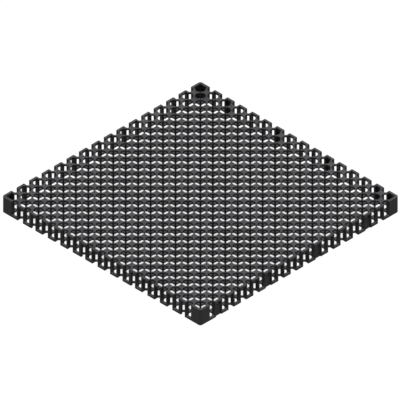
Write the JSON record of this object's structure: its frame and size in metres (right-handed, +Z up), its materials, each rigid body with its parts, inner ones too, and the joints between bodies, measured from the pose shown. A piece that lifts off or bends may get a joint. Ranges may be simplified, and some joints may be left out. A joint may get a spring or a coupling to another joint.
{
  "type": "drainage cell",
  "caption": "Square moulded drainage panel: a chessboard of small plates in two layers on upright posts, with interlocking tabs along its edges.",
  "frame": {"origin": "centre of the underside", "axes": "+Z up out of the top face, +X and +Y along the edges"},
  "size_m": [0.445, 0.445, 0.03],
  "materials": {
    "moulding": "black moulded polypropylene, slightly satin"
  },
  "bodies": {
    "root": {"grid_front_left": "moulding", "grid_front_right": "moulding", "grid_back_left": "moulding", "grid_back_right": "moulding"}
  },
  "joints": []
}
